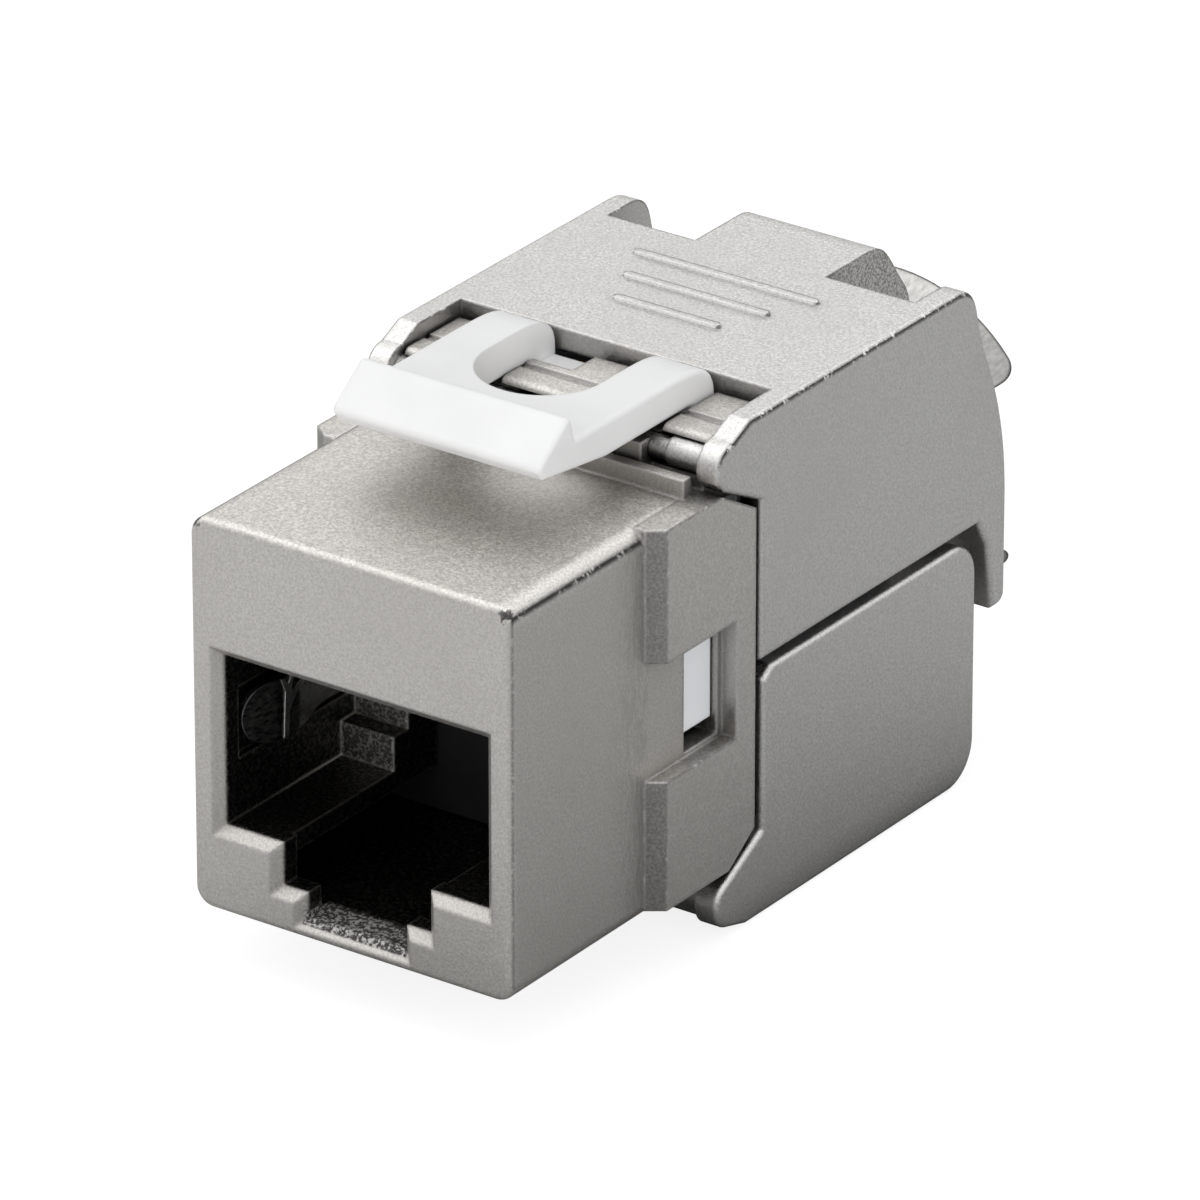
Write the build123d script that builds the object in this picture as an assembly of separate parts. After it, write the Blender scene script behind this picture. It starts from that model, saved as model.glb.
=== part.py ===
from build123d import *
import os
from math import cos, radians, sin

# Shielded keystone jack with two hinged rear covers, in millimetres.
# X runs across the face, Y from the face to the cable end, and Z up.
# Pieces are drawn with the face at y = 0 and the underside of the front box at z = 0.
# The last step moves them all, so that the origin lies under the middle of the jack.

# Front box
face_width = 14.5
face_height = 16.0
box_length = 14.6
face_wall = 1.2
roof_wall = 1.0
floor_wall = 0.75
long_edge_radius = 0.8
face_edge_radius = 0.3

# Rear corners of the box, cut back to clear the cover noses
top_corner_length = 2.2
top_corner_drop = 1.25
foot_corner_length = 2.3
foot_corner_rise = 1.6

# Plug port
port_side_wall = 1.28
port_band = 5.54
shelf_top = 3.5
shelf_thickness = 0.8
shelf_gap = 0.1
tab_step_width = 6.7
tab_step_height = 1.75
tab_slot_width = 4.5
port_chamfer = 0.4
stop_inner = 3.5
stop_start = 7.5
stop_rise = 1.4
stop_tread = 0.9
stop_count = 2

# Side flanges, which stop the jack in its panel opening
flange_proud = 0.7
flange_length = 6.2
flange_lead = 0.5
flange_foot = 0.43
flange_recess_low = 5.75
flange_recess_high = 10.6
flange_strip = 1.2
flange_root = 0.5

# Side windows and the snap lugs that show in them
window_back = 3.65
window_length = 2.15
window_low = 5.9
window_high = 10.45
lug_clearance = 0.08
lug_height = 3.8
lug_recess = 0.25
lug_slope = 0.3
lug_root = 0.1

# Cover hinges
hinge_back = 1.6
hinge_rise = 1.0
hinge_inset = 0.9
rod_radius = 0.45
rod_root = 0.3
boss_radius = 0.58
boss_length = 1.7
rod_clearance = 0.05
boss_clearance = 0.08
nose_radius = 1.0
upper_nose_sweep = 115
upper_nose_foot_angle = 240
lower_nose_start = 130
lower_nose_sweep = 120

# Hinge saddle on the roof of the box, with slots for the latch
saddle_rise = 1.9
saddle_run = 3.5
saddle_side_gap = 0.15
saddle_bead = 0.3
saddle_groove = 0.12
saddle_groove_run = 1.2
saddle_groove_width = 0.4
saddle_foot = 0.6
saddle_root = 0.4
saddle_gap = 0.2
roof_bar_lead = 1.6
roof_bar_width = 0.5
roof_bar_height = 0.75
hook_inner = 1.9
hook_outer = 4.5
hook_wall = 0.4
hook_lip = 0.4
hook_back = 1.2
hook_clearance = 0.25

# Latch clip
latch_half_width = 4.7
latch_window = 5.2
latch_rise = 3.26
latch_thickness = 1.46
latch_ridge_run = 9.25
latch_ridge_rise = 1.15
latch_ridge_back = 0.3
latch_ridge_radius = 0.25
latch_nose_run = 2.1
latch_nose_drop = 0.4
latch_nose_radius = 0.3
latch_under_run = 0.45
latch_under_drop = 0.95
latch_window_run = 6.97
latch_proud = 0.15
latch_leg = 1.35
latch_leg_drop = 2.0
latch_bend_run = 2.95
latch_bend_drop = 1.51
latch_inner_radius = 0.5
latch_edge_radius = 0.2
latch_clearance = 0.14
latch_tab_inner = 0.8
latch_tab_sink = 0.4
latch_tab_thickness = 0.5
latch_tab_inset = 0.1
latch_tab_root = 0.3

# Rear covers
cover_proud = 0.8
cover_wall = 1.0
plate_wall = 0.9
upper_front_gap = 0.25
upper_rise = 2.5
upper_plate_gap = 0.2
upper_plate_length = 9.5
seam_rise = 0.4
upper_throat_drop = 2.05
cover_gap = 0.1
back_root_rise = 1.0
upper_back_round = 3.5
# Points of the rounded rear edge: setback from the rear end, and drop from the top
upper_back_points = [(0.32, 6.5), (0.95, 4.4), (1.95, 1.8)]
upper_nose_run = 1.1
hood_half_width = 3.0
hood_crown_setback = 2.8
hood_proud = 0.78
# Points of the hood's rear curve: setback from its rear, and drop from the top
hood_curve = [(1.53, 0.65), (0.72, 1.81)]
hood_curve_drop = 3.6
hood_wall = 0.8
notch_depth = 5.0
notch_length = 4.97
tail_thickness = 0.92
tail_lead = 0.35
tail_lead_height = 1.2
tail_drop = 3.95
tail_radius = 0.5
tail_gap = 6.0
lower_front_gap = 0.4
seam_gap = 0.45
lower_bottom = -2.2
lower_setback = 2.02
lower_rear_radius = 1.7
lower_shoulder = 1.5
lower_lip = 0.6
lower_lip_drop = 0.45
lower_throat = 1.3
lower_bevel = 1.0
lower_overlap = 0.4
lower_plate_run = 0.2
cover_edge_radius = 0.22
cable_axis_drop = 10.5
cable_hole_radius = 4.4

# Finger ribs on the upper cover: run behind the front of its plate, and half length across
finger_ribs = [(7.25, 4.2), (5.3, 3.3), (3.35, 2.4)]
finger_rib_width = 0.36
finger_rib_height = 0.14
rib_root = 0.2

# Cable collars at the outlet, one in each cover
collar_radius = 5.5
collar_sheet = 0.55
collar_mouth = 6.8
collar_flare = 2.2
collar_straight = 2.08
collar_half_angle = 57
collar_flare_slope = (0.75, 1)
collar_corner = 0.9
collar_clearance = 0.03

# Contact carrier and its spring contacts
carrier_clearance = 0.05
carrier_inset = 2.5
carrier_back_wall = 1.8
carrier_roof_drop = 0.1
carrier_relief = 0.1
carrier_rim = 1.0
arm_room = 0.2
arm_lead = 0.3
arm_top_room = 0.1
comb_depth = 0.9
comb_drop = 2.46
contact_count = 8
contact_pitch = 1.016
contact_width = 0.4
contact_thickness = 0.3
contact_slot = 0.6
contact_front = 3.2
contact_row_rise = 1.54
contact_row_step = 1.3
contact_elbow_rise = 0.64
contact_tip_gap = 0.5
contact_tip_drop = 1.56
contact_bend = 0.35

# Circuit board
board_gap = 0.1
board_thickness = 1.1
board_floor_gap = 0.65
board_roof_gap = 0.4
pin_hole_radius = 0.38
pin_proud = 0.4

# Insulation displacement block and its forks
block_gap = 0.1
block_shoulder_gap = 0.35
block_length = 4.85
block_side_gap = 0.25
block_roof_gap = 0.1
arm_thickness = 0.6
block_neck_inset = 0.1
pin_room = 0.6
fork_columns = 4
fork_pitch = 3.0
fork_row_gap = 1.4
fork_width = 1.9
fork_thickness = 0.4
fork_slot = 0.36
fork_slot_depth = 2.8
fork_reach = 3.6
fork_seat = 0.05
fork_pin = 0.2
fork_shoulder = 0.1
fork_tip = 0.35
fork_tip_length = 0.7
fork_mouth = 0.3
fork_mouth_depth = 0.6

# Wire manager
manager_gap = 0.1
manager_length = 5.2
wire_run = 2.1
wire_channel = 1.4
wire_channel_depth = 1.5
manager_dish_depth = 1.2
manager_edge = 0.6
manager_floor = 0.3
wire_hole_depth = 0.8

# Shield springs in the port walls
spring_thickness = 0.22
spring_low = 6.1
spring_height = 2.5
spring_start = 1.4
spring_crown = 3.6
spring_end = 8.6
spring_bulge = 0.5
spring_pocket = 0.34
spring_clearance = 0.06
spring_room = 0.2
spring_flat = 0.6
spring_rise = 2.2
spring_radius = 0.8
spring_lead = 0.05

# How far a cut runs past the surface it opens
cut_past = 1.0

# Places that follow from the sizes: across the jack
half_face = face_width / 2
half_port = half_face - port_side_wall
flange_x = half_face + flange_proud
cover_half_width = half_face + cover_proud
block_half_width = cover_half_width - cover_wall - block_side_gap
saddle_half = cover_half_width - cover_wall - saddle_side_gap

# From the face to the hinges, and the pieces in the box
hinge_y = box_length - hinge_back
roof_bar_y = hinge_y - roof_bar_lead
flange_start = box_length - flange_length
window_start = box_length - window_back
window_end = window_start + window_length
carrier_end = box_length - carrier_inset
carrier_back = carrier_end - carrier_back_wall
shelf_end = carrier_back - shelf_gap
contact_tip_y = carrier_back - contact_tip_gap
board_start = carrier_end + board_gap
board_end = board_start + board_thickness
block_start = board_end + block_gap
block_shoulder = box_length + block_shoulder_gap
block_end = block_shoulder + block_length
fork_end = block_end + fork_reach
manager_start = block_end + manager_gap
manager_end = manager_start + manager_length
wire_y = manager_start + wire_run

# From the hinges to the cable end
saddle_end = hinge_y + saddle_run
saddle_groove_y = hinge_y + saddle_groove_run
latch_rear = saddle_end + latch_proud
latch_bend_start = latch_rear - latch_bend_run
latch_window_start = latch_rear - latch_window_run
latch_ridge_y = latch_rear - latch_ridge_run
latch_nose_y = latch_ridge_y - latch_nose_run
latch_under_y = latch_nose_y + latch_under_run
upper_front = box_length + upper_front_gap
upper_plate_start = latch_rear + upper_plate_gap
upper_plate_end = upper_plate_start + upper_plate_length
rear_end = upper_plate_end + notch_length
tail_inner = rear_end - tail_thickness
hood_rear = rear_end + hood_proud
hood_crown = hood_rear - hood_crown_setback
lower_front = box_length + lower_front_gap
lower_plate_start = hinge_y + lower_plate_run
lower_rear = rear_end - lower_setback
collar_flare_start = rear_end + collar_straight
collar_end = collar_flare_start + collar_flare

# Heights
hinge_foot_z = -hinge_inset
hinge_top_z = face_height + hinge_rise
saddle_top = face_height + saddle_rise
latch_top = face_height + latch_rise
latch_foot = latch_top - latch_thickness - latch_leg_drop
latch_bend_foot = latch_top - latch_bend_drop
latch_tab_top = saddle_top - latch_tab_sink
port_top = face_height - port_band
contact_row_z = port_top + contact_row_rise
contact_elbow_z = port_top + contact_elbow_rise
contact_tip_z = port_top - contact_tip_drop
comb_low = port_top - comb_drop
board_low = floor_wall + board_floor_gap
board_high = face_height - roof_wall - board_roof_gap
block_low = floor_wall + carrier_clearance - block_neck_inset
block_high = face_height - roof_wall - block_roof_gap
upper_top = face_height + upper_rise
plate_under = upper_top - plate_wall
upper_throat = hinge_top_z - upper_throat_drop
cable_axis_z = upper_top - cable_axis_drop
back_root_z = cable_axis_z + back_root_rise
fork_row_offset = contact_row_z - fork_row_gap - cable_axis_z
upper_lower_edge = cable_axis_z + seam_rise
lower_top = upper_lower_edge - seam_gap
tail_bottom = upper_lower_edge - tail_drop
notch_floor = upper_top - notch_depth
hood_curve_foot = upper_top - hood_curve_drop

# The whole jack
overall_length = collar_end
rest_height = -lower_bottom


def prism_x(profile, start, end):
    """Stretch a profile drawn in Y and Z from x = start to x = end."""
    plane = Plane(origin=(start, 0, 0), x_dir=(0, 1, 0), z_dir=(1, 0, 0))
    return extrude(plane * profile, amount=end - start)


def prism_y(profile, start, end):
    """Stretch a profile drawn in X and Z from y = start to y = end."""
    plane = Plane(origin=(0, start, 0), x_dir=(1, 0, 0), z_dir=(0, -1, 0))
    return extrude(plane * profile, amount=start - end)


def prism_z(profile, start, end):
    """Stretch a profile drawn in X and Y from z = start to z = end."""
    return extrude(Pos(0, 0, start) * profile, amount=end - start)


def block(x0, x1, y0, y1, z0, z1):
    """A box between two opposite corners."""
    middle = Pos((x0 + x1) / 2, (y0 + y1) / 2, (z0 + z1) / 2)
    return middle * Box(x1 - x0, y1 - y0, z1 - z0)


def both_sides(shape):
    """A shape and its mirror image across the middle of the jack."""
    return shape + mirror(shape, about=Plane.YZ)


def outline(*points):
    """A flat face through the given points."""
    return make_face(Polyline(*points, close=True))


def rod_x(radius, y, z, half_length):
    """A round bar along X, centred on the middle of the jack."""
    return prism_x(Pos(y, z) * Circle(radius), -half_length, half_length)


def nearest_corner(face, y, z):
    """The corner of a face that lies nearest to a point."""
    return min(face.vertices(), key=lambda v: (v.X - y) ** 2 + (v.Y - z) ** 2)


def round_corner(face, y, z, radius):
    """Round the corner of a face that lies nearest to a point."""
    return fillet(nearest_corner(face, y, z), radius)


# Front housing

def box_side_outline():
    """Side view of the front box, with both rear corners cut back."""
    return outline(
        (0, 0),
        (box_length - foot_corner_length, 0),
        (box_length, foot_corner_rise),
        (box_length, face_height - top_corner_drop),
        (box_length - top_corner_length, face_height),
        (0, face_height),
    )


def box_shell():
    """Outer block of the box, with its long edges and face edges rounded."""
    section = RectangleRounded(face_width, face_height, long_edge_radius)
    solid = prism_y(Pos(0, face_height / 2) * section, 0, box_length)
    solid = solid & prism_x(box_side_outline(), -half_face, half_face)
    face = solid.faces().sort_by(Axis.Y)[0]
    return fillet(face.edges(), face_edge_radius)


def port_outline():
    """Front view of the plug port, with the stepped slot for the plug's tab."""
    step = tab_step_width / 2
    slot = tab_slot_width / 2
    right = [
        (half_port, port_top),
        (half_port, shelf_top),
        (step, shelf_top),
        (step, tab_step_height),
        (slot, tab_step_height),
        (slot, floor_wall),
    ]
    left = [(-x, z) for x, z in reversed(right)]
    return outline(*right, *left)


def hollow_out(solid):
    """Cut the port and the room behind the face wall."""
    room = block(-half_port, half_port, face_wall, box_length + cut_past,
                 floor_wall, face_height - roof_wall)
    shelf = block(stop_inner, half_port, face_wall, shelf_end,
                  shelf_top - shelf_thickness, shelf_top)
    stops = [
        block(stop_inner, half_port, stop_start + i * stop_tread, shelf_end,
              shelf_top, shelf_top + (i + 1) * stop_rise)
        for i in range(stop_count)
    ]
    room = room - both_sides(shelf.fuse(*stops))
    solid = solid - room - prism_y(port_outline(), -cut_past, face_wall)
    face = solid.faces().sort_by(Axis.Y)[0]
    return chamfer(face.inner_wires()[0].edges(), port_chamfer)


def side_flange():
    """Raised flange on the right side, with its recess and sloping lead-in."""
    plan = outline(
        (half_face - flange_root, flange_start),
        (half_face, flange_start),
        (flange_x, flange_start + flange_lead),
        (flange_x, box_length),
        (half_face - flange_root, box_length),
    )
    side = box_side_outline() & Pos(0, flange_foot) * Rectangle(
        box_length, face_height, align=(Align.MIN, Align.MIN))
    flange = prism_z(plan, 0, face_height) & prism_x(side, 0, flange_x + cut_past)
    recess = block(
        half_face, flange_x + cut_past,
        flange_start - cut_past, box_length - flange_strip,
        flange_recess_low, flange_recess_high,
    )
    return flange - recess


def hinge_saddle():
    """Block on the roof that the upper hinge bar turns in, with the latch slots."""
    half = saddle_half
    seat = block_high + saddle_gap
    side = outline(
        (hinge_y, hinge_top_z),
        (hinge_y, saddle_top),
        (saddle_end, saddle_top),
        (saddle_end, seat),
        (hinge_y + saddle_foot, seat),
        (hinge_y - saddle_root, face_height - saddle_root),
    )
    side = round_corner(side, hinge_y, saddle_top, saddle_bead)
    saddle = prism_x(side, -half, half)
    groove = block(-half, half, saddle_groove_y, saddle_groove_y + saddle_groove_width,
                   saddle_top - saddle_groove, saddle_top + cut_past)
    hook_front = hinge_y - rod_radius - rod_clearance - hook_wall
    hook_side = outline(
        (hook_front, face_height - saddle_root),
        (hook_front, hinge_top_z + hook_lip),
        (hinge_y + hook_back, hinge_top_z + hook_lip),
        (hinge_y + hook_back, face_height - saddle_root),
    )
    hooks = both_sides(prism_x(hook_side, hook_inner, hook_outer))
    slots = both_sides(latch_slot())
    boss_room = rod_x(boss_radius + boss_clearance, hinge_y, hinge_top_z, half + cut_past)
    bore = rod_x(rod_radius + rod_clearance, hinge_y, hinge_top_z, half + cut_past)
    return (saddle - groove - boss_room + hooks) - slots - tab_pocket() - bore


def latch_slot():
    """Room for one arm of the latch, and the deeper pocket for its leg."""
    inner = latch_window / 2 - latch_clearance
    outer = latch_half_width + latch_clearance
    arm = block(inner, outer, roof_bar_y, saddle_end + cut_past, hinge_top_z + hook_lip, latch_top)
    leg = block(inner, outer, latch_rear - latch_leg - 2 * latch_clearance,
                saddle_end + cut_past, latch_foot - 2 * latch_clearance, latch_top)
    return arm + leg


def tab_pocket():
    """Pocket in the saddle for the latch's locating tab."""
    return block(-latch_window / 2 - latch_clearance, -latch_tab_inner + latch_clearance,
                 latch_rear - latch_leg - 2 * latch_clearance, saddle_end + cut_past,
                 latch_tab_top - latch_tab_thickness - latch_clearance, saddle_top + cut_past)


def foot_hooks():
    """Two hooks under the box that hold the lower hinge bar."""
    wall = rod_radius + rod_clearance + hook_wall
    side = outline(
        (hinge_y - wall, floor_wall / 2),
        (hinge_y - wall, hinge_foot_z - hook_lip),
        (hinge_y + wall, hinge_foot_z - hook_lip),
        (hinge_y + wall, floor_wall),
    )
    hooks = both_sides(prism_x(side, hook_inner, hook_outer))
    return hooks - rod_x(rod_radius + rod_clearance, hinge_y, hinge_foot_z, hook_outer + cut_past)


def front_housing():
    """Cast housing: box, port, flanges, hinge saddle and hooks."""
    solid = hollow_out(box_shell())
    solid = solid + both_sides(side_flange())
    bar = block(-saddle_half, saddle_half, roof_bar_y, roof_bar_y + roof_bar_width,
                face_height - saddle_root, face_height + roof_bar_height)
    solid = solid + bar + hinge_saddle() + foot_hooks()
    window = block(
        half_port - cut_past, flange_x + cut_past,
        window_start, window_end,
        window_low, window_high,
    )
    pocket = block(half_port - cut_past, half_port + spring_pocket, spring_start - spring_room,
                   spring_end + spring_room, spring_low - spring_room,
                   spring_low + spring_height + spring_room)
    return solid - both_sides(window + pocket)


# Latch clip

def latch_side_outline():
    """Side view of the latch: pressing pad, arm and leg in one line."""
    arm_under = latch_top - latch_thickness
    nose_z = latch_top - latch_nose_drop
    ridge_z = latch_top + latch_ridge_rise
    bend = Spline((latch_bend_start, latch_top), (latch_rear, latch_bend_foot),
                  tangents=[(1, 0), (0, -1)])
    path = Polyline(
        bend @ 1,
        (latch_rear, latch_foot),
        (latch_rear - latch_leg, latch_foot),
        (latch_rear - latch_leg, arm_under),
        (latch_window_start, arm_under),
        (latch_under_y, latch_top - latch_under_drop),
        (latch_nose_y, nose_z),
        (latch_ridge_y, ridge_z),
        (latch_ridge_y + latch_ridge_back, latch_top),
        bend @ 0,
    )
    face = make_face([bend, path])
    face = round_corner(face, latch_rear - latch_leg, arm_under, latch_inner_radius)
    face = round_corner(face, latch_nose_y, nose_z, latch_nose_radius)
    return round_corner(face, latch_ridge_y, ridge_z, latch_ridge_radius)


def latch_clip():
    """Moulded spring latch, with a pressing pad, two arms and a locating tab."""
    solid = prism_x(latch_side_outline(), -latch_half_width, latch_half_width)
    solid = fillet(solid.faces().filter_by(Axis.X).edges(), latch_edge_radius)
    radius = latch_window / 2
    gap = Pos(0, latch_window_start + radius) * Circle(radius)
    gap = gap + Pos(0, latch_window_start + radius) * Rectangle(
        latch_window, latch_rear, align=(Align.CENTER, Align.MIN))
    solid = solid - prism_z(gap, latch_foot - cut_past, latch_top + cut_past)
    tab = block(
        -radius - latch_tab_root, -latch_tab_inner,
        latch_rear - latch_leg + latch_tab_inset, latch_rear - latch_tab_inset,
        latch_tab_top - latch_tab_thickness, latch_tab_top,
    )
    return solid + tab


# Rear covers

def upper_back_curve(end):
    """Rounded back of the upper cover in side view, rising from its rearmost place."""
    return Spline(
        (end, back_root_z),
        *[(end - setback, upper_top - drop) for setback, drop in upper_back_points],
        (end - upper_back_round, upper_top),
        tangents=[(0, 1), (-1, 0)],
    )


def upper_side_outline():
    """Side view of the upper cover, with its nose at the hinge and its tail at the rear."""
    nose = CenterArc((hinge_y, hinge_top_z), nose_radius, 90, upper_nose_sweep)
    turn = radians(upper_nose_foot_angle)
    under_nose = (hinge_y + nose_radius * cos(turn), hinge_top_z + nose_radius * sin(turn))
    path = Polyline(
        nose @ 1,
        under_nose,
        (upper_front, upper_throat),
        (upper_front, upper_lower_edge),
        (lower_rear + cover_gap, upper_lower_edge),
        (tail_inner - tail_lead, upper_lower_edge - tail_lead_height),
        (tail_inner, tail_bottom),
        (rear_end, tail_bottom),
        (rear_end, back_root_z),
    )
    back = upper_back_curve(rear_end)
    top = Polyline(back @ 1, (hinge_y + upper_nose_run, upper_top), nose @ 0)
    face = make_face([nose, path, back, top])
    return round_corner(face, rear_end, tail_bottom, tail_radius)


def hood_prism(wall, half_width, bottom):
    """Hood over the cable outlet, made smaller by a wall thickness."""
    crown = (hood_crown - wall, upper_top - wall)
    foot = (hood_rear - wall, hood_curve_foot)
    middle = [(hood_rear - setback - wall, upper_top - drop - wall) for setback, drop in hood_curve]
    curve = Spline(crown, *middle, foot, tangents=[(1, 0), (0, -1)])
    front = upper_plate_end - plate_wall
    path = Polyline(
        curve @ 1,
        (hood_rear - wall, bottom),
        (front, bottom),
        (front, upper_top - wall),
        crown,
    )
    return prism_x(make_face([curve, path]), -half_width, half_width)


def upper_cavity():
    """Inner room of the upper cover, between its walls, open below and in front."""
    back = upper_back_curve(rear_end - cover_wall)
    lip = lower_rear - lower_overlap
    path = Polyline(back @ 1, (0, upper_top), (0, 0), (lip, 0), (lip, back_root_z), back @ 0)
    room_side = make_face([back, path])
    room_side = room_side & Rectangle(2 * rear_end, plate_under, align=(Align.CENTER, Align.MIN))
    front = Pos(0, upper_lower_edge) * Rectangle(
        upper_plate_start, upper_top, align=(Align.MIN, Align.MIN))
    inner = cover_half_width - cover_wall
    hood_inner = hood_half_width - hood_wall
    room = prism_x(room_side + front, -inner, inner)
    recess = block(hood_inner, cover_half_width, upper_plate_end - plate_wall, rear_end,
                   notch_floor - plate_wall, upper_top + cut_past)
    hood_floor = cable_axis_z + collar_radius + collar_sheet + hood_wall
    return room - both_sides(recess) + hood_prism(hood_wall, hood_inner, hood_floor)


def cable_way():
    """Cable hole in the rear wall, wider below the axis to pass the lower collar."""
    hole = Pos(0, cable_axis_z) * Circle(cable_hole_radius)
    hole = hole + Pos(0, cable_axis_z) * Rectangle(
        2 * tail_gap, cable_axis_z, align=(Align.CENTER, Align.MAX))
    under_hood = Pos(0, cable_axis_z) * Circle(collar_radius + collar_sheet + collar_clearance)
    way = prism_y(hole, lower_rear - cut_past, rear_end + cut_past)
    return way + prism_y(under_hood, rear_end, hood_rear + cut_past)


def upper_cover():
    """Cast upper cover with hood, notches, finger ribs and its hinge bar."""
    half = cover_half_width
    solid = prism_x(upper_side_outline(), -half, half)
    solid = fillet(solid.faces().filter_by(Axis.X).edges(), cover_edge_radius)
    notch = block(hood_half_width, half - cover_wall, upper_plate_end, rear_end + cut_past,
                  notch_floor, upper_top + cut_past)
    solid = solid - both_sides(notch) + hood_prism(0, hood_half_width, notch_floor - plate_wall)
    seat = collar_ring(rear_end - cover_wall, collar_clearance)
    solid = solid - upper_cavity() - cable_way() - seat
    for run, half_length in finger_ribs:
        rib = SlotOverall(2 * half_length, finger_rib_width)
        rib = Pos(0, upper_plate_start + run) * rib
        solid = solid + prism_z(rib, upper_top - rib_root, upper_top + finger_rib_height)
    return solid + hinge_bar(hinge_top_z)


def hinge_bar(z):
    """Bar between the noses of a cover, with a thicker boss at each end."""
    inner = cover_half_width - cover_wall
    bar = rod_x(rod_radius, hinge_y, z, inner + rod_root)
    boss = prism_x(Pos(hinge_y, z) * Circle(boss_radius), inner - boss_length, inner + rod_root)
    return bar + both_sides(boss)


def lower_side_outline():
    """Side view of the lower cover."""
    nose = CenterArc((hinge_y, hinge_foot_z), nose_radius, lower_nose_start, lower_nose_sweep)
    path = Polyline(
        nose @ 1,
        (hinge_y + nose_radius, lower_bottom),
        (lower_rear, lower_bottom),
        (lower_rear, lower_top),
        (lower_front + lower_lip, lower_top),
        (lower_front, lower_top - lower_lip_drop),
        (lower_front, lower_throat),
        nose @ 0,
    )
    face = make_face([nose, path])
    face = round_corner(face, lower_rear, lower_bottom, lower_rear_radius)
    return round_corner(face, lower_rear, lower_top, lower_shoulder)


def lower_cover():
    """Cast lower cover with its floor, rear wall and hinge bar."""
    half = cover_half_width
    inner = half - cover_wall
    solid = prism_x(lower_side_outline(), -half, half)
    solid = fillet(solid.faces().filter_by(Axis.X).edges(), cover_edge_radius)
    floor = lower_bottom + plate_wall
    back = lower_rear - cover_wall
    room = outline((0, floor), (back - lower_bevel, floor), (back, floor + lower_bevel),
                   (back, face_height), (0, face_height))
    solid = solid - prism_x(room, -inner, inner)
    solid = solid - block(-inner, inner, 0, lower_plate_start, lower_bottom - cut_past, face_height)
    hook_room = block(hook_inner - hook_clearance, hook_outer + hook_clearance, 0,
                      hinge_y + hook_back, lower_bottom - cut_past, face_height)
    hole = Pos(0, cable_axis_z) * Circle(cable_hole_radius)
    hole = prism_y(hole, back - cut_past, lower_rear + cut_past)
    seat = lower_half(collar_ring(back, collar_clearance))
    return solid - both_sides(hook_room) - hole - seat + hinge_bar(hinge_foot_z)


# Cable collars

def collar_ring(start, clearance):
    """Flared upper half ring around the cable axis; a clearance makes it thicker all round."""
    inner = collar_radius - clearance
    outer = collar_radius + collar_sheet + clearance
    mouth_outer = collar_mouth + clearance
    mouth_inner = collar_mouth - collar_sheet - clearance
    slope_x, slope_y = collar_flare_slope
    root = start - clearance
    section = make_face([
        Polyline((inner, root), (outer, root), (outer, collar_flare_start)),
        Spline((outer, collar_flare_start), (mouth_outer, collar_end),
               tangents=[(0, 1), (slope_x, slope_y)]),
        Line((mouth_outer, collar_end), (mouth_inner, collar_end)),
        Spline((mouth_inner, collar_end), (inner, collar_flare_start),
               tangents=[(-slope_x, -slope_y), (0, -1)]),
        Line((inner, collar_flare_start), (inner, root)),
    ])
    ring = revolve(Pos(0, 0, cable_axis_z) * section, Axis((0, 0, cable_axis_z), (0, 1, 0)), 360)
    reach = 3 * collar_mouth
    spread = radians(collar_half_angle)
    tip_x = reach * sin(spread) + clearance
    tip_z = cable_axis_z + reach * cos(spread) - clearance
    foot = (0, cable_axis_z - clearance)
    crown = (0, cable_axis_z + reach)
    wedge = outline(foot, (tip_x, tip_z), crown, (-tip_x, tip_z))
    return ring & prism_y(wedge, start - cut_past, collar_end + cut_past)


def lower_half(shape):
    """A shape of the upper half of the cable outlet, turned over to the lower half."""
    return mirror(shape, about=Plane.XY.offset(cable_axis_z))


def cable_collar(start):
    """Spring steel collar that guides the cable out, with rounded corners at its mouth."""
    root_drop = cable_axis_z + collar_radius * cos(radians(collar_half_angle))
    mouth_drop = cable_axis_z + collar_mouth * cos(radians(collar_half_angle))
    side = outline(
        (start - cut_past, cable_axis_z),
        (collar_flare_start, cable_axis_z),
        (collar_flare_start, root_drop),
        (collar_end, mouth_drop),
        (collar_end, cable_axis_z + 2 * collar_mouth),
        (start - cut_past, cable_axis_z + 2 * collar_mouth),
    )
    side = round_corner(side, collar_end, mouth_drop, collar_corner)
    return collar_ring(start, 0) & prism_x(side, -2 * collar_mouth, 2 * collar_mouth)


# Contact carrier, contacts and board

def contact_x(index):
    """Place across the jack of one of the eight contacts."""
    return (index - (contact_count - 1) / 2) * contact_pitch


def contact_row(index):
    """Height of a contact's tail: every second one sits a row higher."""
    return contact_row_z + contact_row_step * (index % 2)


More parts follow.
